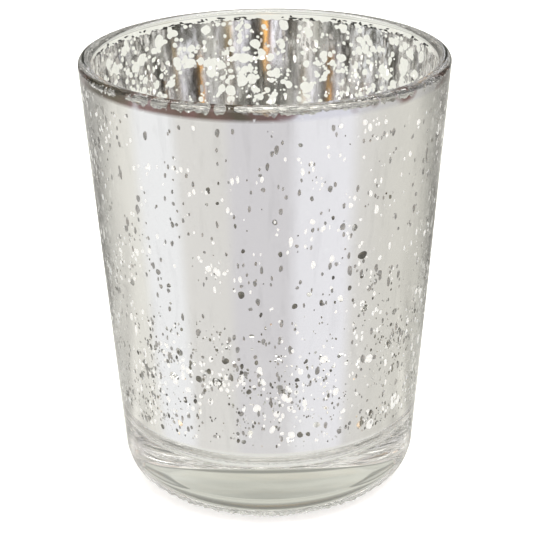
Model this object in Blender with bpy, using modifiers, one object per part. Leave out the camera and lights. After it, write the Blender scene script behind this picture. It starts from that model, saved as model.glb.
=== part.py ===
"""Tealight holder: a tapered, heavy-based pressed-glass cup with a silver mirror film on its inner wall and floor.

Metres, +Z up. The origin is the centre of the foot, on the surface that the cup stands on.
Two solids: glass_cup, and silver_lining, the film that lines it from just under the lip to the floor.
"""

import math

import bpy

# Driving dimensions of the glass.
HEIGHT = 0.070
LIP_OUTER_RADIUS = 0.02855  # where the straight outer wall would meet the top plane
FOOT_OUTER_RADIUS = 0.02314  # where it would meet the plane that the cup stands on
LIP_WALL = 0.0020  # wall thickness at the lip, measured level
FLOOR_WALL = 0.0023  # wall thickness at the cavity's floor, measured level
FLOOR_THICKNESS = 0.0098
LIP_EDGE_RADIUS = 0.0009
HEEL_RADIUS = 0.0062  # rounding between the outer wall and the foot
CAVITY_HEEL_RADIUS = 0.0038  # rounding between the inner wall and the floor
HOLLOW_RADIUS = 0.0135  # the shallow hollow under the base, inside the foot ring
HOLLOW_DEPTH = 0.0009
HOLLOW_EDGE_RUN = 0.0011  # how far in from its edge the hollow reaches its full depth

# The film. A real one is far thinner and bonded to the glass.
FILM_THICKNESS = 0.00015
FILM_GAP = 0.0003
FILM_TOP_BELOW_LIP = 0.0011

SEGMENTS = 64  # facets round the cup; a multiple of four gives it its full width along X and Y
ARC_POINTS = 5
MERGE_DISTANCE = 0.00001
SHARP_ANGLE = math.radians(30)

OUTER_LEAN = math.atan((LIP_OUTER_RADIUS - FOOT_OUTER_RADIUS) / HEIGHT)


def outer_radius(z):
    """Radius of the straight outer wall at height z."""
    return FOOT_OUTER_RADIUS + (LIP_OUTER_RADIUS - FOOT_OUTER_RADIUS) * z / HEIGHT


def inner_radius(z):
    """Radius of the glass's inner wall at height z; the wall thins evenly from the floor to the lip."""
    share = (z - FLOOR_THICKNESS) / (HEIGHT - FLOOR_THICKNESS)
    return outer_radius(z) - FLOOR_WALL + (FLOOR_WALL - LIP_WALL) * share


INNER_LEAN = math.atan(
    (inner_radius(HEIGHT) - inner_radius(FLOOR_THICKNESS)) / (HEIGHT - FLOOR_THICKNESS)
)


def arc(centre, radius, start, end, count=ARC_POINTS):
    """Points of an arc in the (radius, height) plane; angles turn from outwards towards up."""
    steps = [start + (end - start) * i / (count - 1) for i in range(count)]
    return [(centre[0] + radius * math.cos(a), centre[1] + radius * math.sin(a)) for a in steps]


def cavity_profile(inset, top):
    """The cavity's outline: out along the floor, round its heel and up the wall to the height top.

    inset moves the outline that far off the glass, into the cavity.
    """
    heel_centre_z = FLOOR_THICKNESS + CAVITY_HEEL_RADIUS
    heel_centre = (inner_radius(heel_centre_z) - CAVITY_HEEL_RADIUS / math.cos(INNER_LEAN), heel_centre_z)
    heel = arc(heel_centre, CAVITY_HEEL_RADIUS - inset, -math.pi / 2, -INNER_LEAN)
    rim = (inner_radius(top) - inset / math.cos(INNER_LEAN), top)
    return [(0.0, FLOOR_THICKNESS + inset), *heel, rim]


def lip_profile():
    """The lip's rounded inner and outer edges, with a narrow flat between them."""
    z = HEIGHT - LIP_EDGE_RADIUS
    inner_centre = (inner_radius(z) + LIP_EDGE_RADIUS / math.cos(INNER_LEAN), z)
    outer_centre = (outer_radius(z) - LIP_EDGE_RADIUS / math.cos(OUTER_LEAN), z)
    inner_edge = arc(inner_centre, LIP_EDGE_RADIUS, math.pi - INNER_LEAN, math.pi / 2)
    outer_edge = arc(outer_centre, LIP_EDGE_RADIUS, math.pi / 2, -OUTER_LEAN)
    return inner_edge + outer_edge


def foot_profile():
    """The heel, the flat foot ring and the shallow hollow inside it, in to the axis."""
    heel_centre = (outer_radius(HEEL_RADIUS) - HEEL_RADIUS / math.cos(OUTER_LEAN), HEEL_RADIUS)
    heel = arc(heel_centre, HEEL_RADIUS, -OUTER_LEAN, -math.pi / 2, 2 * ARC_POINTS)
    hollow = [
        (HOLLOW_RADIUS, 0.0),
        (HOLLOW_RADIUS - HOLLOW_EDGE_RUN, HOLLOW_DEPTH),
        (0.0, HOLLOW_DEPTH),
    ]
    return heel + hollow


def glass_profile():
    """The cup's whole outline, up its cavity, over the lip and down its outside to the axis."""
    cavity_wall_top = HEIGHT - LIP_EDGE_RADIUS
    return cavity_profile(0.0, cavity_wall_top)[:-1] + lip_profile() + foot_profile()


def film_profile():
    """The film's whole outline: up its face towards the cavity and down its face towards the glass."""
    top = HEIGHT - FILM_TOP_BELOW_LIP
    cavity_face = cavity_profile(FILM_GAP + FILM_THICKNESS, top)
    glass_face = cavity_profile(FILM_GAP, top)
    return cavity_face + glass_face[::-1]


def principled(name, colour, roughness, metallic=0.0, transmission=0.0):
    """A material of one colour, roughness and metallic value."""
    material = bpy.data.materials.new(name)
    material.use_nodes = True
    shader = material.node_tree.nodes["Principled BSDF"]
    shader.inputs["Base Color"].default_value = (*colour, 1.0)
    shader.inputs["Roughness"].default_value = roughness
    shader.inputs["Metallic"].default_value = metallic
    shader.inputs["Transmission Weight"].default_value = transmission
    return material


def turned_mesh(scratch):
    """The mesh that an object's Screw modifier makes, smooth but for its sharp edges."""
    evaluated = scratch.evaluated_get(bpy.context.evaluated_depsgraph_get())
    mesh = bpy.data.meshes.new_from_object(evaluated)
    mesh.shade_smooth()
    mesh.set_sharp_from_angle(angle=SHARP_ANGLE)
    return mesh


def add_turned(name, profile, material, collection, parent):
    """Adds an object whose (radius, height) profile is turned about the Z axis."""
    outline = bpy.data.meshes.new(name + "_outline")
    edges = [(i, i + 1) for i in range(len(profile) - 1)]
    outline.from_pydata([(radius, 0.0, z) for radius, z in profile], edges, [])
    outline.materials.append(material)
    part = bpy.data.objects.new(name, outline)
    collection.objects.link(part)
    screw = part.modifiers.new("Turn", "SCREW")
    screw.axis = "Z"
    screw.steps = SEGMENTS
    screw.render_steps = SEGMENTS
    screw.use_merge_vertices = True
    screw.merge_threshold = MERGE_DISTANCE
    mesh = turned_mesh(part)
    mesh.name = name
    part.modifiers.remove(screw)
    part.data = mesh
    bpy.data.meshes.remove(outline)
    part.parent = parent
    return part


def build():
    """Makes both solids in their own collection, under one empty at the origin."""
    for leftover in list(bpy.data.objects):
        bpy.data.objects.remove(leftover, do_unlink=True)
    parts = bpy.data.collections.new("tealight_holder")
    bpy.context.scene.collection.children.link(parts)
    holder = bpy.data.objects.new("holder_origin", None)
    parts.objects.link(holder)
    glass = principled("clear_glass", (0.94, 0.96, 0.94), 0.02, transmission=1.0)
    silver = principled("speckled_silver", (0.82, 0.81, 0.79), 0.12, metallic=1.0)
    add_turned("glass_cup", glass_profile(), glass, parts, holder)
    add_turned("silver_lining", film_profile(), silver, parts, holder)


build()
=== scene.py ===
"""Looks of the tealight holder: clear pressed glass, a mirror film with real holes, and a studio."""

import math
import random

import bmesh
import bpy
import numpy as np
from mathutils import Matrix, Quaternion, Vector, noise
from mathutils.geometry import delaunay_2d_cdt


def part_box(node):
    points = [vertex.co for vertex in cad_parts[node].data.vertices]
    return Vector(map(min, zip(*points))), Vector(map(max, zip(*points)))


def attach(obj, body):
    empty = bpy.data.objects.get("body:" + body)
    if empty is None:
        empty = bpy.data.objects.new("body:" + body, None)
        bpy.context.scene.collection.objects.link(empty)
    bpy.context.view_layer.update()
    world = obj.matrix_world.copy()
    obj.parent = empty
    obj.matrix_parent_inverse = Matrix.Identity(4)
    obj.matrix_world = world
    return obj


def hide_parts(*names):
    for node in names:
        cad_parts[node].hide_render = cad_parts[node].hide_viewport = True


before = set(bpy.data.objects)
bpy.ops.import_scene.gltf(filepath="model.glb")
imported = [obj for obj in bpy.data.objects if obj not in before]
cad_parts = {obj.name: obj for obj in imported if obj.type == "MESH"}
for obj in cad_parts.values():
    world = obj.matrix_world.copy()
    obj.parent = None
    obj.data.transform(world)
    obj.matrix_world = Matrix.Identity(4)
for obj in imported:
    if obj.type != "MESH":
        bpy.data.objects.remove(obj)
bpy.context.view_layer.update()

# Sizes of the glass, in metres, as the CAD has them. Its height comes from the frame.
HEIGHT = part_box("glass_cup")[1].z
LIP_OUTER_RADIUS = 0.02855
FOOT_OUTER_RADIUS = 0.02314
LIP_WALL = 0.0020
FLOOR_WALL = 0.0023
FLOOR_THICKNESS = 0.0098
LIP_EDGE_RADIUS = 0.0009
HEEL_RADIUS = 0.0062
CAVITY_HEEL_RADIUS = 0.0038
HOLLOW_RADIUS = 0.0135
HOLLOW_DEPTH = 0.0009
HOLLOW_EDGE_RUN = 0.0011

GLASS_SEGMENTS = 600
HEEL_POINTS = 56
FOOT_RINGS = 16
STIPPLE_DEPTH = 0.00062
STIPPLE_SIZE = 0.00078
STIPPLE_LIFT = 0.55  # added to the noise, so that more of the stippled band is pressed in than not
STIPPLE_INNER_RADIUS = 0.0192  # inside this the foot is smooth, as is the hollow
STIPPLE_INNER_FADE = 0.0004
STIPPLE_TOP = 0.0029  # height on the heel where the stipple has faded out
STIPPLE_TOP_FADE = 0.0006

# The film is bonded: its outer face lies just inside the glass, much closer than the CAD's stand-in.
FILM_STANDOFF = -0.00003
FILM_THICKNESS = 0.00005
SPOT_STANDOFF = -0.00005  # tarnished spots (partly painted shade) and milky spots (with a painted glow) go right through the film
FLECK_STANDOFF = 0.00001  # the flecks at the edge lie on its cavity side
SPOT_THICKNESS = 0.00009
SPOT_FREE_TOP = 0.0022  # the lip would stretch a spot nearer the film's top into a hook
FILM_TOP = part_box("silver_lining")[1].z
FILM_COLUMNS = 168
FILM_ROWS = 40
HEEL_ROWS = 22  # close rows round the cavity's heel, so the film follows its curve
FLOOR_RINGS = 12
FLOOR_HOLES = 110
FLOOR_HOLE_MARGIN = 0.0014  # unbroken silver round the floor's edge
SEAM_ANGLE = math.radians(96)  # where the unrolled film meets itself, measured from the front towards +X
UNROLL_RADIUS = 0.0245  # radius at which the unrolled film is drawn at its true width
SEAM_MARGIN = 0.0012
RAGGED_STEPS = 620
RAGGED_REACH = 0.0011  # how far down the top edge's bites go
CLEAN_FOOT = 0.0008  # unbroken silver just above the heel
SMALLEST_FLAKE = 3e-8  # area in square metres under which a loose flake is dropped
EDGE_FLECKS = 60
FLECK_FACING = 1.7  # the flecks keep to the back: this angle in radians or more from the front


def outer_radius(z):
    """Radius of the straight outer wall at height z."""
    return FOOT_OUTER_RADIUS + (LIP_OUTER_RADIUS - FOOT_OUTER_RADIUS) * z / HEIGHT


def inner_radius(z):
    """Radius of the glass's inner wall at height z."""
    share = (z - FLOOR_THICKNESS) / (HEIGHT - FLOOR_THICKNESS)
    return outer_radius(z) - FLOOR_WALL + (FLOOR_WALL - LIP_WALL) * share


OUTER_LEAN = math.atan((LIP_OUTER_RADIUS - FOOT_OUTER_RADIUS) / HEIGHT)
HEEL_CENTRE = outer_radius(HEEL_RADIUS) - HEEL_RADIUS / math.cos(OUTER_LEAN)
INNER_LEAN = math.atan(
    (inner_radius(HEIGHT) - inner_radius(FLOOR_THICKNESS)) / (HEIGHT - FLOOR_THICKNESS)
)
CAVITY_HEEL_Z = FLOOR_THICKNESS + CAVITY_HEEL_RADIUS
CAVITY_HEEL_CENTRE = inner_radius(CAVITY_HEEL_Z) - CAVITY_HEEL_RADIUS / math.cos(INNER_LEAN)


# ---------------------------------------------------------------- glass


def arc(centre, radius, start, end, count):
    """Points of an arc in the (radius, height) plane; angles turn from outwards towards up."""
    return [
        (centre[0] + radius * math.cos(a), centre[1] + radius * math.sin(a))
        for a in np.linspace(start, end, count)
    ]


def glass_profile():
    """The cup's outline, from the floor's centre up the cavity, over the lip and down to the foot."""
    z = HEIGHT - LIP_EDGE_RADIUS
    lip_inner = (inner_radius(z) + LIP_EDGE_RADIUS / math.cos(INNER_LEAN), z)
    lip_outer = (outer_radius(z) - LIP_EDGE_RADIUS / math.cos(OUTER_LEAN), z)
    floor = [(r, FLOOR_THICKNESS) for r in np.linspace(0.0, CAVITY_HEEL_CENTRE, 8)[:-1]]
    cavity = arc((CAVITY_HEEL_CENTRE, CAVITY_HEEL_Z), CAVITY_HEEL_RADIUS, -math.pi / 2, -INNER_LEAN, 16)
    lip = arc(lip_inner, LIP_EDGE_RADIUS, math.pi - INNER_LEAN, math.pi / 2, 12)
    lip += arc(lip_outer, LIP_EDGE_RADIUS, math.pi / 2, -OUTER_LEAN, 12)
    outside = arc((HEEL_CENTRE, HEEL_RADIUS), HEEL_RADIUS, -OUTER_LEAN, -math.pi / 2, HEEL_POINTS)
    ring = [(r, 0.0) for r in np.linspace(HEEL_CENTRE, HOLLOW_RADIUS, FOOT_RINGS)[1:]]
    edge = HOLLOW_RADIUS - HOLLOW_EDGE_RUN
    hollow = [
        (HOLLOW_RADIUS - HOLLOW_EDGE_RUN * t, HOLLOW_DEPTH * (3 * t * t - 2 * t ** 3))
        for t in np.linspace(0.0, 1.0, 7)[1:]
    ]
    hollow += [(r, HOLLOW_DEPTH) for r in np.linspace(edge, 0.0, 6)[1:]]
    return floor + cavity + lip + outside + ring + hollow


def stipple(x, y, z):
    """A point of the glass; on the lower heel it is pressed in by the moulded stipple."""
    radius = math.hypot(x, y)
    inner_fade = min(1.0, max(0.0, (radius - STIPPLE_INNER_RADIUS) / STIPPLE_INNER_FADE))
    outer_fade = min(1.0, max(0.0, (STIPPLE_TOP - z) / STIPPLE_TOP_FADE))
    if inner_fade * outer_fade == 0.0:
        return x, y, z
    bumps = noise.noise(Vector((x, y, z)) / STIPPLE_SIZE)
    depth = STIPPLE_DEPTH * inner_fade * outer_fade * max(0.0, STIPPLE_LIFT + bumps)
    out = max(0.0, radius - HEEL_CENTRE) / HEEL_RADIUS
    up = math.sqrt(max(0.0, 1.0 - out * out))
    return x - depth * out * x / radius, y - depth * out * y / radius, z + depth * up


def make_glass():
    """The cup as one closed turned mesh, stippled on its lower heel."""
    profile = glass_profile()
    rings = np.array(profile[1:-1])
    turns = np.arange(GLASS_SEGMENTS) * 2 * math.pi / GLASS_SEGMENTS
    points = np.stack([
        rings[:, :1] * np.cos(turns),
        rings[:, :1] * np.sin(turns),
        np.repeat(rings[:, 1:], GLASS_SEGMENTS, axis=1),
    ], axis=-1).reshape(-1, 3)
    verts = [stipple(x, y, z) for x, y, z in points.tolist()]
    first, last = len(verts), len(verts) + 1
    verts += [(0.0, 0.0, profile[0][1]), (0.0, 0.0, profile[-1][1])]
    faces = []
    for j in range(GLASS_SEGMENTS):
        k = (j + 1) % GLASS_SEGMENTS
        faces.append((first, j, k))
        for i in range(len(rings) - 1):
            a, b = i * GLASS_SEGMENTS, (i + 1) * GLASS_SEGMENTS
            faces.append((a + j, b + j, b + k, a + k))
        end = (len(rings) - 1) * GLASS_SEGMENTS
        faces.append((end + j, last, end + k))
    mesh = bpy.data.meshes.new("pressed_glass_cup")
    mesh.from_pydata(verts, [], faces)
    mesh.shade_smooth()
    cup = bpy.data.objects.new("pressed_glass_cup", mesh)
    bpy.context.scene.collection.objects.link(cup)
    return cup


# ---------------------------------------------------------------- mirror film


WALL_FOOT_Z = CAVITY_HEEL_Z - CAVITY_HEEL_RADIUS * math.sin(INNER_LEAN)
WALL_LENGTH = (FILM_TOP - WALL_FOOT_Z) / math.cos(INNER_LEAN)
HEEL_LENGTH = CAVITY_HEEL_RADIUS * (math.pi / 2 - INNER_LEAN)
SHEET_LENGTH = WALL_LENGTH + HEEL_LENGTH
SHEET_WIDTH = 2 * math.pi * UNROLL_RADIUS


def sheet_to_space(across, down, inset):
    """Points and cavity-side normals of the film, from its unrolled place and its distance off the glass."""
    turn = SEAM_ANGLE + across / UNROLL_RADIUS
    on_wall = down <= WALL_LENGTH
    wall_z = FILM_TOP - down * math.cos(INNER_LEAN)
    dip = -INNER_LEAN - (down - WALL_LENGTH) / CAVITY_HEEL_RADIUS
    heel_radius = CAVITY_HEEL_CENTRE + CAVITY_HEEL_RADIUS * np.cos(dip)
    heel_z = CAVITY_HEEL_Z + CAVITY_HEEL_RADIUS * np.sin(dip)
    radius = np.where(on_wall, inner_radius(wall_z), heel_radius)
    height = np.where(on_wall, wall_z, heel_z)
    normal_r = np.where(on_wall, -math.cos(INNER_LEAN), -np.cos(dip))
    normal_z = np.where(on_wall, math.sin(INNER_LEAN), -np.sin(dip))
    radius = radius + inset * normal_r
    height = height + inset * normal_z
    points = np.stack([radius * np.sin(turn), -radius * np.cos(turn), height], axis=1)
    normals = np.stack([normal_r * np.sin(turn), -normal_r * np.cos(turn), normal_z], axis=1)
    return points, normals


def floor_to_space(x, y, inset):
    """Points and normals of the film on the cup's floor."""
    points = np.stack([x, y, np.full(len(x), FLOOR_THICKNESS + inset)], axis=1)
    normals = np.tile((0.0, 0.0, 1.0), (len(x), 1))
    return points, normals


def blob(rng, x, y, width, height, wobble=0.10):
    """The outline of one hole: an ellipse of that width and height with an uneven edge."""
    count = max(7, min(22, int(7 + 9 * max(width, height) / 0.001)))
    phases = [rng.uniform(0, 2 * math.pi) for _ in range(3)]
    outline = []
    for i in range(count):
        a = 2 * math.pi * i / count
        swell = 1 + wobble * sum(math.cos((n + 2) * a + p) / (n + 1) for n, p in enumerate(phases))
        outline.append((x + width / 2 * swell * math.cos(a), y + height / 2 * swell * math.sin(a)))
    return outline


def facing(across):
    """Angle of a place on the unrolled film, from the front (0) to the back (pi)."""
    return (SEAM_ANGLE + across / UNROLL_RADIUS + math.pi) % (2 * math.pi) - math.pi


def scatter(rng, count, density, size, stretch=(1.0, 1.2), cluster=1, spread=0.001):
    """Holes over the unrolled wall, kept where density(across, down) says, in clusters if asked for."""
    holes = []
    tries = 0
    while len(holes) < count and tries < count * 60:
        tries += 1
        x, y = rng.uniform(0, SHEET_WIDTH), rng.uniform(0, SHEET_LENGTH)
        if rng.random() > density(x, y):
            continue
        for _ in range(rng.randint(1, cluster)):
            width = size(rng)
            height = width * rng.uniform(*stretch)
            hx = x + rng.gauss(0, spread) * (cluster > 1)
            hy = y + rng.gauss(0, spread) * (cluster > 1)
            reach = max(width, height) * 0.7
            if SEAM_MARGIN < hx - reach and hx + reach < SHEET_WIDTH - SEAM_MARGIN:
                if reach < hy < WALL_LENGTH - reach - CLEAN_FOOT:
                    holes.append(blob(rng, hx, hy, width, height))
    return holes


def lognormal(median, sigma, low, high):
    """A size drawn around a median, within limits."""
    return lambda rng: min(high, max(low, rng.lognormvariate(math.log(median), sigma)))


def patchy(x, y, scale, offset):
    """Smooth random value from 0 to 1 over the unrolled film."""
    return 0.5 + 0.5 * noise.noise(Vector((x / scale, y / scale, offset)))


def rise(value, low, high):
    """0 below low, 1 above high, smooth between."""
    t = min(1.0, max(0.0, (value - low) / (high - low)))
    return t * t * (3 - 2 * t)


def thicken(down, least, start, end):
    """A density that rises from least to 1 between two shares of the way down the wall."""
    return least + (1 - least) * rise(down / WALL_LENGTH, start, end)


def wall_holes(rng):
    """Every hole in the film's wall: pinholes, drops, large drops, and the broken silver at the back."""

    def pin_density(x, y):
        return thicken(y, 0.03, 0.42, 0.95) * rise(patchy(x, y, 0.006, 1.0), 0.30, 0.75)

    def drop_density(x, y):
        return thicken(y, 0.04, 0.45, 0.95) * rise(patchy(x, y, 0.009, 5.0), 0.25, 0.8)

    def at_back(x):
        return rise(abs(facing(x)), 0.95, 1.6)

    def broken_density(x, y):
        return at_back(x) * rise(patchy(x, y, 0.007, 9.0), 0.12, 0.55) * (1 - rise(y, 0.008, 0.022))

    def bubble_density(x, y):
        band = rise(y, 0.004, 0.009) * (1 - rise(y, 0.016, 0.028))
        return at_back(x) * rise(patchy(x, y, 0.004, 13.0), 0.35, 0.65) * band

    pin = lognormal(0.00022, 0.30, 0.00014, 0.0004)
    clustered_pin = lognormal(0.00025, 0.35, 0.00014, 0.0005)
    drop = lognormal(0.00044, 0.42, 0.00025, 0.0012)
    large_drop = lognormal(0.0012, 0.20, 0.0009, 0.0017)
    broken = lognormal(0.00078, 0.42, 0.0004, 0.0019)
    bubble = lognormal(0.00045, 0.32, 0.00025, 0.0009)
    holes = scatter(rng, 900, pin_density, pin, stretch=(1.0, 1.8))
    holes += scatter(rng, 260, pin_density, clustered_pin, stretch=(1.0, 1.8), cluster=4, spread=0.0008)
    holes += scatter(rng, 330, drop_density, drop, stretch=(0.95, 1.3))
    holes += scatter(rng, 26, drop_density, large_drop, stretch=(0.95, 1.1))
    holes += scatter(rng, 640, broken_density, broken, stretch=(0.95, 1.1))
    holes += scatter(rng, 950, bubble_density, bubble, stretch=(0.95, 1.1))
    return holes


def ragged_edge(rng):
    """The strip above the film's uneven top edge, as an outline that is cut away."""
    line = []
    for i in range(RAGGED_STEPS + 1):
        x = SHEET_WIDTH * i / RAGGED_STEPS
        turn = 2 * math.pi * i / RAGGED_STEPS
        where = Vector((math.cos(turn), math.sin(turn), 0.0))
        long_wave = noise.noise(where * 6.0)
        short_wave = noise.noise(where * 42.0 + Vector((0, 0, 4.0)))
        bite = 0.38 + 0.30 * long_wave + 0.55 * short_wave
        line.append((x, RAGGED_REACH * min(0.95, max(0.03, bite))))
    return [(0.0, 0.0), *line, (SHEET_WIDTH, 0.0)][::-1]


def triangulate(points, outlines):
    """2D points and triangles over the points' hull, without the triangles inside an outline."""
    coords = [Vector(p) for p in points]
    rings = []
    for outline in outlines:
        rings.append(list(range(len(coords), len(coords) + len(outline))))
        coords += [Vector(p) for p in outline]
    flat, _, faces, _, _, owners = delaunay_2d_cdt(coords, [], rings, 0, 1e-8)
    kept = [tuple(face) for face, owner in zip(faces, owners) if not owner]
    return np.array([tuple(p) for p in flat]), kept


def wall_sheet(rng):
    """The film's wall and heel, unrolled and with its holes cut."""
    rows = [WALL_LENGTH * j / FILM_ROWS for j in range(FILM_ROWS)]
    rows += [WALL_LENGTH + HEEL_LENGTH * j / HEEL_ROWS for j in range(HEEL_ROWS + 1)]
    grid = [(SHEET_WIDTH * i / FILM_COLUMNS, down) for i in range(FILM_COLUMNS + 1) for down in rows]
    return triangulate(grid, [*wall_holes(rng), ragged_edge(rng)])


def floor_sheet(rng):
    """The film on the floor, with a few holes cut."""
    points = [(0.0, 0.0)]
    for ring in range(1, FLOOR_RINGS + 1):
        radius = CAVITY_HEEL_CENTRE * ring / FLOOR_RINGS
        count = FILM_COLUMNS if ring == FLOOR_RINGS else max(12, FILM_COLUMNS * ring // FLOOR_RINGS // 2)
        for i in range(count):
            turn = SEAM_ANGLE + 2 * math.pi * i / count
            points.append((radius * math.sin(turn), -radius * math.cos(turn)))
    holes = []
    size = lognormal(0.00035, 0.5, 0.00015, 0.0016)
    while len(holes) < FLOOR_HOLES:
        radius = CAVITY_HEEL_CENTRE * math.sqrt(rng.random())
        turn = rng.uniform(0, 2 * math.pi)
        width = size(rng)
        if radius < CAVITY_HEEL_CENTRE - FLOOR_HOLE_MARGIN:
            holes.append(blob(rng, radius * math.cos(turn), radius * math.sin(turn), width, width))
    return triangulate(points, holes)


def open_sheet(rng):
    """The film as one open bmesh on the cavity's surface, welded at its seam and at the floor's edge.

    Each vertex keeps its cavity-side normal in a layer."""
    sheet = bmesh.new()
    normal_layer = sheet.verts.layers.float_vector.new("cavity_normal")
    for flat, faces, to_space in (
        (*wall_sheet(rng), lambda p: sheet_to_space(p[:, 0], p[:, 1], 0.0)),
        (*floor_sheet(rng), lambda p: floor_to_space(p[:, 0], p[:, 1], 0.0)),
    ):
        points, normals = to_space(flat)
        made = []
        for point, normal in zip(points, normals):
            vert = sheet.verts.new(point)
            vert[normal_layer] = normal
            made.append(vert)
        for face in faces:
            try:
                sheet.faces.new([made[i] for i in face])
            except ValueError:
                pass
    bmesh.ops.delete(sheet, geom=[v for v in sheet.verts if not v.link_faces], context="VERTS")
    bmesh.ops.remove_doubles(sheet, verts=sheet.verts, dist=2e-7)
    return sheet, normal_layer


def part_touching_corners(sheet):
    """Gives each fan of faces its own vertex where two fans meet only at a point."""
    for vert in list(sheet.verts):
        rim = [e for e in vert.link_edges if e.is_boundary]
        if len(rim) > 2:
            bmesh.utils.vert_separate(vert, rim)


def drop_flakes(sheet):
    """Removes loose bits of film too small to see."""
    sheet.faces.index_update()
    seen = set()
    doomed = []
    for start in sheet.faces:
        if start in seen:
            continue
        seen.add(start)
        island, queue = [start], [start]
        while queue:
            for edge in queue.pop().edges:
                for face in edge.link_faces:
                    if face not in seen:
                        seen.add(face)
                        island.append(face)
                        queue.append(face)
        if sum(f.calc_area() for f in island) < SMALLEST_FLAKE:
            doomed += island
    bmesh.ops.delete(sheet, geom=doomed, context="FACES")


def make_film():
    """The mirror film as a thin closed shell, with smooth normals on both of its faces."""
    rng = random.Random(11)
    sheet, normal_layer = open_sheet(rng)
    part_touching_corners(sheet)
    drop_flakes(sheet)
    sheet.verts.index_update()
    base = np.array([tuple(v.co) for v in sheet.verts])
    normals = np.array([tuple(v[normal_layer]) for v in sheet.verts])
    count = len(base)
    glass_side = base + FILM_STANDOFF * normals
    cavity_side = base + (FILM_STANDOFF + FILM_THICKNESS) * normals
    faces, loop_normals, sides = [], [], []
    for face in sheet.faces:
        ids = [v.index for v in face.verts]
        if face.normal.dot(Vector(normals[ids].mean(axis=0))) < 0:
            ids.reverse()
        faces.append([count + i for i in ids])
        loop_normals += [tuple(normals[i]) for i in ids]
        faces.append(ids[::-1])
        loop_normals += [tuple(-normals[i]) for i in ids[::-1]]
        sides += [1, 0]
    forward = {
        (ids[k], ids[(k + 1) % 3])
        for ids in ([i - count for i in f] for f in faces[::2])
        for k in range(3)
    }
    for a, b in forward:
        if (b, a) not in forward:
            faces.append([count + b, count + a, a, b])
            loop_normals += [(0.0, 0.0, 0.0)] * 4
            sides.append(0)
    sheet.free()
    mesh = bpy.data.meshes.new("silver_film")
    mesh.from_pydata([tuple(p) for p in np.vstack([glass_side, cavity_side])], [], faces)
    mesh.shade_smooth()
    mesh.polygons.foreach_set("material_index", sides)
    mesh.normals_split_custom_set(loop_normals)
    film = bpy.data.objects.new("silver_film", mesh)
    bpy.context.scene.collection.objects.link(film)
    return film


def spot_outlines(rng, counts, onset, median, stretch=(1.0, 1.8)):
    """Outlines of round spots on the wall. counts are of fine ones, drops and large drops.

    onset is the share of the way down at which the fine ones begin to thicken, median is their width,
    and stretch the range of their height over their width."""

    def fine_density(x, y):
        return thicken(y, 0.06, onset, onset + 0.5) * rise(patchy(x, y, 0.007, 21.0), 0.25, 0.70)

    def drop_density(x, y):
        return thicken(y, 0.02, 0.30, 0.80) * rise(patchy(x, y, 0.010, 25.0), 0.30, 0.75)

    fine, drops, large = counts
    fine_size = lognormal(median, 0.38, 0.00016, 0.0008)
    drop_size = lognormal(0.00058, 0.30, 0.0004, 0.0011)
    large_size = lognormal(0.0012, 0.20, 0.0009, 0.0016)
    spots = scatter(rng, fine, fine_density, fine_size, stretch, cluster=3, spread=0.0009)
    spots += scatter(rng, drops, drop_density, drop_size, stretch=(0.95, 1.3))
    spots += scatter(rng, large, drop_density, large_size, stretch=(0.9, 1.1))
    return [outline for outline in spots if min(down for _, down in outline) > SPOT_FREE_TOP]


def edge_flecks(rng):
    """Outlines of the ragged dark flecks along the film's top edge at the back."""
    flecks = []
    while len(flecks) < EDGE_FLECKS:
        x = rng.uniform(0.002, SHEET_WIDTH - 0.002)
        y = rng.uniform(-0.00010, 0.00030)
        width, height = rng.uniform(0.0003, 0.0012), rng.uniform(0.00014, 0.00034)
        if abs(facing(x)) > FLECK_FACING:
            flecks.append(blob(rng, x, y, width, height, wobble=0.35))
    return flecks


def make_spots(name, outlines, standoff):
    """Thin closed discs of those outlines, that far off the glass; below 0 they start inside it."""
    verts, faces = [], []
    for outline in outlines:
        flat = np.array([np.mean(outline, axis=0), *outline])
        count = len(flat)
        for inset in (standoff, standoff + SPOT_THICKNESS):
            points, _ = sheet_to_space(flat[:, 0], flat[:, 1], inset)
            verts += [tuple(p) for p in points]
        outer = len(verts) - 2 * count
        inner = outer + count
        for i in range(1, count):
            j = i % (count - 1) + 1
            faces.append((outer, outer + i, outer + j))
            faces.append((inner, inner + j, inner + i))
            faces.append((outer + i, inner + i, inner + j, outer + j))
    mesh = bpy.data.meshes.new(name)
    mesh.from_pydata(verts, [], faces)
    shape = bmesh.new()
    shape.from_mesh(mesh)
    bmesh.ops.recalc_face_normals(shape, faces=shape.faces)
    shape.to_mesh(mesh)
    shape.free()
    spots = bpy.data.objects.new(name, mesh)
    bpy.context.scene.collection.objects.link(spots)
    return spots


# ---------------------------------------------------------------- materials


def new_material(name):
    """A material with nodes, and its Principled shader."""
    material = bpy.data.materials.new(name)
    material.use_nodes = True
    return material, material.node_tree.nodes["Principled BSDF"]


def noise_node(tree, scale, detail=3.0, roughness=0.5):
    """A noise texture in the object's own coordinates."""
    place = tree.nodes.new("ShaderNodeTexCoord")
    node = tree.nodes.new("ShaderNodeTexNoise")
    node.inputs["Scale"].default_value = scale
    node.inputs["Detail"].default_value = detail
    node.inputs["Roughness"].default_value = roughness
    tree.links.new(place.outputs["Object"], node.inputs["Vector"])
    return node


def remap(tree, source, low, high, to_low, to_high):
    """A Map Range node from one span to another."""
    node = tree.nodes.new("ShaderNodeMapRange")
    for name, value in (("From Min", low), ("From Max", high), ("To Min", to_low), ("To Max", to_high)):
        node.inputs[name].default_value = value
    tree.links.new(source, node.inputs["Value"])
    return node.outputs["Result"]


def add_bump(tree, shader, height, distance, strength):
    """Feeds a bump of that height into the shader's normal."""
    bump = tree.nodes.new("ShaderNodeBump")
    bump.inputs["Distance"].default_value = distance
    bump.inputs["Strength"].default_value = strength
    tree.links.new(height, bump.inputs["Height"])
    tree.links.new(bump.outputs["Normal"], shader.inputs["Normal"])


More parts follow.
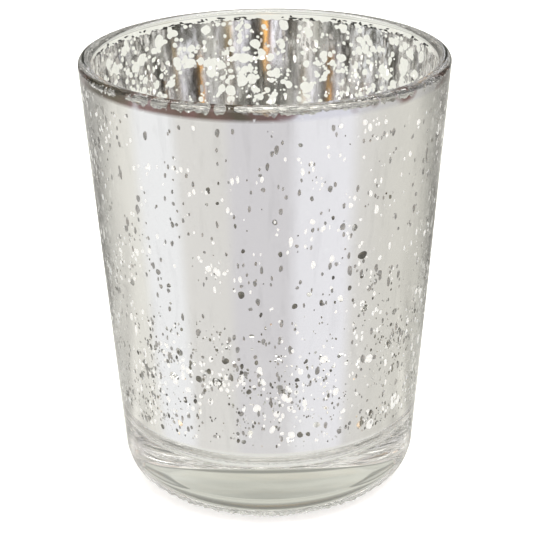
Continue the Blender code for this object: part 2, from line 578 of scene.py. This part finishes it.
def ramp_node(tree, factor, stops):
    """A colour ramp fed by factor; stops are (position, colour)."""
    node = tree.nodes.new("ShaderNodeValToRGB")
    elements = node.color_ramp.elements
    while len(elements) < len(stops):
        elements.new(1.0)
    for element, (position, _) in zip(elements, stops):
        element.position = position
    for element, (_, colour) in zip(elements, stops):
        element.color = (*colour, 1.0)
    tree.links.new(factor, node.inputs["Fac"])
    return node.outputs["Color"]


def height_fade(tree, low, high):
    """0 below the height low, 1 above high, on the object's own Z."""
    place = tree.nodes.new("ShaderNodeTexCoord")
    split = tree.nodes.new("ShaderNodeSeparateXYZ")
    tree.links.new(place.outputs["Object"], split.inputs["Vector"])
    return remap(tree, split.outputs["Z"], low, high, 0.0, 1.0)


def streak_node(tree, scale, squeeze):
    """Noise drawn out along Z, for streaks that run down the wall."""
    place = tree.nodes.new("ShaderNodeTexCoord")
    mapping = tree.nodes.new("ShaderNodeMapping")
    mapping.inputs["Scale"].default_value = (1.0, 1.0, squeeze)
    node = tree.nodes.new("ShaderNodeTexNoise")
    node.inputs["Scale"].default_value = scale
    node.inputs["Detail"].default_value = 3.0
    tree.links.new(place.outputs["Object"], mapping.inputs["Vector"])
    tree.links.new(mapping.outputs["Vector"], node.inputs["Vector"])
    return node


def mix_colours(tree, factor, first, second, blend="MIX"):
    """Mixes two colours; a tuple is used as it is."""
    mix = tree.nodes.new("ShaderNodeMix")
    mix.data_type = "RGBA"
    mix.blend_type = blend
    tree.links.new(factor, mix.inputs[0])
    for socket, value in ((mix.inputs[6], first), (mix.inputs[7], second)):
        if isinstance(value, tuple):
            socket.default_value = (*value, 1.0)
        else:
            tree.links.new(value, socket)
    return mix.outputs[2]


def math_node(tree, operation, *values):
    """A Math node; each value is a socket or a number."""
    node = tree.nodes.new("ShaderNodeMath")
    node.operation = operation
    for socket, value in zip(node.inputs, values):
        if isinstance(value, (int, float)):
            socket.default_value = value
        else:
            tree.links.new(value, socket)
    return node.outputs["Value"]


def glass_material():
    """Clear soda-lime glass with a trace of grey-green, and the faint waviness of a pressed wall."""
    material, shader = new_material("clear_pressed_glass")
    tree = material.node_tree
    shader.inputs["Transmission Weight"].default_value = 1.0
    shader.inputs["IOR"].default_value = 1.52
    shader.inputs["Base Color"].default_value = (0.955, 0.965, 0.950, 1.0)
    waves = noise_node(tree, scale=150.0, detail=1.0)
    smear = noise_node(tree, scale=420.0, detail=4.0, roughness=0.6)
    tree.links.new(remap(tree, smear.outputs["Fac"], 0.35, 0.75, 0.0, 0.010), shader.inputs["Roughness"])
    add_bump(tree, shader, waves.outputs["Fac"], distance=0.0004, strength=0.015)
    return material


def film_material(name, silver, tarnish_and_painted_shade, tarnish_and_painted_shade_depth, tarnish_and_painted_shade_cover):
    """Silver with a soft mirror, streaked where the coat is thin, and darkened along its top edge: partly
    tarnished, partly a painted shade band.

    silver and tarnish_and_painted_shade are ramps of (noise, colour). tarnish_and_painted_shade_cover is the
    noise over which the edge is darkened, and a low one makes an unbroken line."""
    material, shader = new_material(name)
    tree = material.node_tree
    shader.inputs["Metallic"].default_value = 1.0
    coat = ramp_node(tree, streak_node(tree, scale=620.0, squeeze=0.16).outputs["Fac"], silver)
    # Painted shade: the top-edge colour is partly tarnished silver and partly a dark band of painted shade.
    stain_and_painted_shade = ramp_node(tree, noise_node(tree, scale=95.0, detail=2.0).outputs["Fac"], tarnish_and_painted_shade)
    broken = noise_node(tree, scale=1500.0, detail=2.0)
    cover = remap(tree, broken.outputs["Fac"], tarnish_and_painted_shade_cover, tarnish_and_painted_shade_cover + 0.08, 0.0, 1.0)
    top = height_fade(tree, FILM_TOP - tarnish_and_painted_shade_depth, FILM_TOP - 0.6 * tarnish_and_painted_shade_depth)
    edge = math_node(tree, "MULTIPLY", top, cover)
    tree.links.new(mix_colours(tree, edge, coat, stain_and_painted_shade), shader.inputs["Base Color"])
    cloud = noise_node(tree, scale=260.0)
    tree.links.new(remap(tree, cloud.outputs["Fac"], 0.3, 0.7, 0.04, 0.09), shader.inputs["Roughness"])
    waves = noise_node(tree, scale=170.0, detail=1.0)
    add_bump(tree, shader, waves.outputs["Fac"], distance=0.0004, strength=0.025)
    return material


def spot_material(name, dark, light, roughness, glow=0.0):
    """A spot in the silver, uneven in tone. glow stands for the light that a milky spot lets through."""
    material, shader = new_material(name)
    tree = material.node_tree
    shader.inputs["Roughness"].default_value = roughness
    shader.inputs["Emission Color"].default_value = (*light, 1.0)
    shader.inputs["Emission Strength"].default_value = glow
    tone = noise_node(tree, scale=700.0)
    colour = ramp_node(tree, tone.outputs["Fac"], ((0.38, dark), (0.62, light)))
    tree.links.new(colour, shader.inputs["Base Color"])
    grain = noise_node(tree, scale=4000.0, detail=2.0)
    add_bump(tree, shader, grain.outputs["Fac"], distance=0.00005, strength=0.3)
    return material


def floor_material():
    """Matt white board with a trace of unevenness."""
    material, shader = new_material("white_board")
    tree = material.node_tree
    shader.inputs["Roughness"].default_value = 0.9
    tone = noise_node(tree, scale=30.0, detail=4.0)
    board = ramp_node(tree, tone.outputs["Fac"], ((0.0, (0.90, 0.90, 0.90)), (1.0, (0.93, 0.93, 0.93))))
    tree.links.new(board, shader.inputs["Base Color"])
    shader.inputs["Emission Color"].default_value = (1.0, 1.0, 1.0, 1.0)
    shader.inputs["Emission Strength"].default_value = 0.45  # a faintly lit board, so shadows stay light
    return material


# ---------------------------------------------------------------- studio

# What surrounds the cup, as (bearing in degrees from the front towards +X, colour). Low lies below the
# horizon, and the outside of the film mirrors it. High is the room above, which the inside mirrors.
LOW_BANDS = (
    (-180, (0.97, 0.96, 0.89)),
    (-166, (0.95, 0.94, 0.87)),
    (-156, (0.72, 0.71, 0.67)),
    (-140, (0.82, 0.80, 0.75)),
    (-104, (0.86, 0.84, 0.79)),
    (-94, (0.93, 0.93, 0.95)),
    (-68, (0.93, 0.93, 0.95)),
    (-60, (0.79, 0.77, 0.75)),
    (-30, (0.77, 0.75, 0.73)),
    (-22, (0.71, 0.69, 0.72)),
    (14, (0.70, 0.68, 0.71)),
    (24, (0.87, 0.86, 0.91)),
    (58, (0.89, 0.88, 0.93)),
    (68, (0.76, 0.74, 0.72)),
    (90, (0.72, 0.70, 0.66)),
    (140, (0.76, 0.74, 0.68)),
    (156, (0.68, 0.67, 0.62)),
    (166, (0.95, 0.94, 0.87)),
    (180, (0.97, 0.96, 0.89)),
)
HIGH_BANDS = (
    (-180, (0.66, 0.66, 0.58)),
    (-104, (0.70, 0.70, 0.63)),
    (-92, (1.60, 1.58, 1.52)),
    (-70, (1.70, 1.68, 1.62)),
    (-62, (0.30, 0.28, 0.24)),
    (-48, (0.24, 0.22, 0.18)),
    (-40, (1.50, 1.50, 1.60)),
    (-16, (1.80, 1.80, 1.95)),
    (-10, (0.44, 0.20, 0.12)),
    (-4, (2.20, 1.10, 0.22)),
    (3, (2.00, 1.20, 0.40)),
    (8, (0.20, 0.17, 0.15)),
    (26, (0.14, 0.14, 0.15)),
    (34, (1.50, 1.50, 1.65)),
    (62, (1.80, 1.80, 1.95)),
    (70, (1.10, 0.80, 0.36)),
    (84, (0.34, 0.32, 0.28)),
    (96, (1.30, 1.30, 1.34)),
    (108, (0.70, 0.70, 0.64)),
    (180, (0.66, 0.66, 0.58)),
)

# The back of the room in level tones, as (elevation in degrees, tone). The cup's edges and base show it.
BACK_TONES = (
    (-90.0, 0.95),
    (-36.0, 0.92),
    (-34.0, 0.45),
    (-32.0, 0.85),
    (-31.2, 0.50),
    (-30.7, 1.35),
    (-29.8, 1.30),
    (-29.3, 0.46),
    (-28.0, 0.92),
    (-25.5, 0.88),
    (-24.2, 0.60),
    (-21.0, 0.56),
    (-19.8, 0.98),
    (-13.5, 1.00),
    (-11.0, 0.50),
    (-9.0, 0.32),
    (19.0, 0.32),
    (23.0, 0.58),
    (25.5, 1.00),
    (28.5, 0.84),
    (28.8, 1.02),
    (29.2, 1.02),
    (29.5, 0.66),
    (29.9, 0.48),
    (32.5, 0.44),
    (35.0, 0.80),
    (90.0, 0.95),
)

BACK_EDGE = (math.radians(112), math.radians(128))  # bearings between which the level tones set in

NADIR = (0.86, 0.85, 0.82)  # the pale table, which the silver's heel mirrors through the base

# Heights on the sphere of directions, from -1 straight down to 1 straight up, between which one part of the
# room gives way to the next.
TO_NADIR = (-0.58, -0.68)
TO_HIGH_BANDS = (-0.06, 0.06)
TO_CEILING = (0.62, 0.80)

# The ceiling is dim with a few lamps in it, as (noise, colour).
CEILING = (
    (0.40, (0.12, 0.12, 0.10)),
    (0.50, (0.55, 0.55, 0.52)),
    (0.56, (1.10, 1.08, 1.02)),
    (0.60, (6.00, 5.90, 5.60)),
)
LAMP_SCALE = 5.0


def band_ramp(tree, bearing, bands):
    """A colour ramp over the bearing, from the back round the front to the back."""
    return ramp_node(tree, bearing, [((degrees + 180) / 360, colour) for degrees, colour in bands])


def make_world():
    """A room of soft upright bands, one set above the horizon and one below, under a ceiling with lamps."""
    world = bpy.data.worlds.new("soft_studio")
    bpy.context.scene.world = world
    world.use_nodes = True
    tree = world.node_tree
    background = tree.nodes["Background"]
    place = tree.nodes.new("ShaderNodeTexCoord")
    split = tree.nodes.new("ShaderNodeSeparateXYZ")
    tree.links.new(place.outputs["Generated"], split.inputs["Vector"])
    height = split.outputs["Z"]
    backwards = math_node(tree, "MULTIPLY", split.outputs["Y"], -1.0)
    turn = math_node(tree, "ARCTAN2", split.outputs["X"], backwards)
    bearing = remap(tree, turn, -math.pi, math.pi, 0.0, 1.0)
    elevation = remap(tree, math_node(tree, "ARCSINE", height), -math.pi / 2, math.pi / 2, 0.0, 1.0)
    low = band_ramp(tree, bearing, LOW_BANDS)
    high = band_ramp(tree, bearing, HIGH_BANDS)
    room = mix_colours(tree, remap(tree, height, *TO_HIGH_BANDS, 0.0, 1.0), low, high)
    tones = ramp_node(tree, elevation, [((degrees + 90) / 180, (tone,) * 3) for degrees, tone in BACK_TONES])
    behind = remap(tree, math_node(tree, "ABSOLUTE", turn), *BACK_EDGE, 0.0, 1.0)
    toned = mix_colours(tree, behind, room, tones, "MULTIPLY")
    lamps = tree.nodes.new("ShaderNodeTexNoise")
    lamps.inputs["Scale"].default_value = LAMP_SCALE
    tree.links.new(place.outputs["Generated"], lamps.inputs["Vector"])
    ceiling = ramp_node(tree, lamps.outputs["Fac"], CEILING)
    capped = mix_colours(tree, remap(tree, height, *TO_CEILING, 0.0, 1.0), toned, ceiling)
    whole = mix_colours(tree, remap(tree, height, *TO_NADIR, 0.0, 1.0), capped, NADIR)
    tree.links.new(whole, background.inputs["Color"])


def make_floor():
    """A large pale floor just under the foot. Mirrors and glass show the room instead of it."""
    bpy.ops.mesh.primitive_plane_add(size=6.0, location=(0.0, 0.0, -0.00002))
    floor = bpy.context.object
    floor.name = "studio_floor"
    floor.data.materials.append(floor_material())
    floor.visible_glossy = False
    floor.visible_transmission = False
    floor.visible_shadow = False


def add_area(name, place, size, power):
    """A soft square light aimed at the cup that mirrors and glass don't show."""
    data = bpy.data.lights.new(name, "AREA")
    data.size = size
    data.energy = power
    light = bpy.data.objects.new(name, data)
    light.location = place
    aim = Vector((0.0, 0.0, HEIGHT / 2)) - Vector(place)
    light.rotation_euler = aim.to_track_quat("-Z", "Y").to_euler()
    light.visible_glossy = False
    light.visible_transmission = False
    bpy.context.scene.collection.objects.link(light)


def make_camera():
    """The camera: a telephoto a little above the cup, tilted very slightly."""
    distance = 0.28523
    rise_angle = math.radians(22.146)
    tilt_angle = math.radians(-0.694)
    target = Vector((-0.0001, 0.0, 0.03476))
    data = bpy.data.cameras.new("camera")
    data.lens = 120.45
    data.sensor_width = 36.0
    data.clip_start = 0.01
    data.clip_end = 20.0
    camera = bpy.data.objects.new("camera", data)
    back = Vector((0.0, -math.cos(rise_angle), math.sin(rise_angle)))
    camera.location = Vector((0.0, 0.0, HEIGHT / 2)) + back * distance
    aim = (target - camera.location).to_track_quat("-Z", "Y")
    tilt = Quaternion((0.0, 0.0, 1.0), tilt_angle)
    camera.rotation_mode = "QUATERNION"
    camera.rotation_quaternion = aim @ tilt
    bpy.context.scene.collection.objects.link(camera)
    bpy.context.scene.camera = camera


def set_light_paths():
    """Enough bounces for light that crosses the glass and mirrors inside the cup."""
    scene = bpy.context.scene
    scene.view_settings.view_transform = "Standard"
    scene.cycles.max_bounces = 28
    scene.cycles.glossy_bounces = 16
    scene.cycles.transmission_bounces = 24


def place_piece(piece, node, slot, *materials):
    """Dresses a piece, hangs it under the root and hides the CAD node it stands for. slot is not used."""
    for material in materials:
        piece.data.materials.append(material)
    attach(piece, "root")
    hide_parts(node)


def make_film_materials():
    """The silver as seen through the glass, and as seen from the cavity."""
    outer_silver = film_material(
        "mirror_silver",
        silver=((0.25, (0.87, 0.865, 0.86)), (0.45, (0.94, 0.935, 0.93))),
        # Partly tarnished silver, partly painted shade: the dark reddish-brown band under the lip.
        tarnish_and_painted_shade=((0.40, (0.13, 0.11, 0.07)), (0.50, (0.25, 0.14, 0.13)), (0.56, (0.80, 0.80, 0.84))),
        tarnish_and_painted_shade_depth=0.0017,
        tarnish_and_painted_shade_cover=0.28,
    )
    cavity_silver = film_material(
        "mirror_silver_back",
        silver=((0.36, (0.42, 0.41, 0.39)), (0.48, (0.90, 0.895, 0.89))),
        tarnish_and_painted_shade=((0.40, (0.015, 0.015, 0.015)), (0.60, (0.05, 0.05, 0.045))),
        tarnish_and_painted_shade_depth=0.0006,
        tarnish_and_painted_shade_cover=0.46,
    )
    return outer_silver, cavity_silver


def make_spot_pieces():
    """The discs on the film, a piece for each kind."""
    rng = random.Random(5)
    # Dark spots: partly tarnished silver, partly painted shade standing in for pinholes that show the dark
    # cavity.
    dark = spot_outlines(rng, (700, 85, 14), onset=0.34, median=0.00026)
    faint = spot_outlines(rng, (1250, 60, 0), onset=-0.40, median=0.00036, stretch=(1.2, 2.4))
    milky = spot_outlines(rng, (1150, 300, 34), onset=-0.25, median=0.00032, stretch=(1.0, 2.2))
    flecks = edge_flecks(rng)
    tarnish_and_painted_shade = spot_material("tarnish_and_painted_shade", (0.10, 0.095, 0.075), (0.36, 0.35, 0.29), 0.45)
    thin_silver = spot_material("thin_silver", (0.42, 0.42, 0.40), (0.66, 0.65, 0.63), 0.40)
    # Partly milky lacquer, partly painted highlight: the glow makes these drops shine though they are no
    # lamp.
    milky_lacquer_painted_glow = spot_material("milky_lacquer_painted_glow", (0.93, 0.93, 0.90), (0.97, 0.97, 0.95), 0.35, glow=0.50)
    edge_tarnish = spot_material("edge_tarnish", (0.008, 0.008, 0.008), (0.03, 0.028, 0.025), 0.30)
    for name, outlines, standoff, material in (
        ("tarnished_and_painted_shade_spots", dark, SPOT_STANDOFF, tarnish_and_painted_shade),
        ("faint_specks", faint, SPOT_STANDOFF, thin_silver),
        ("milky_drops_painted_glow", milky, SPOT_STANDOFF, milky_lacquer_painted_glow),
        ("edge_flecks", flecks, FLECK_STANDOFF, edge_tarnish),
    ):
        place_piece(make_spots(name, outlines, standoff), "silver_lining", "speckled_silver", material)


def main():
    """Makes the pieces, dresses them and sets the studio."""
    place_piece(make_glass(), "glass_cup", "clear_glass", glass_material())
    place_piece(make_film(), "silver_lining", "speckled_silver", *make_film_materials())
    make_spot_pieces()
    make_floor()
    make_world()
    add_area("overhead", place=(0.1, -0.15, 0.9), size=0.8, power=5.0)
    make_camera()
    set_light_paths()


main()
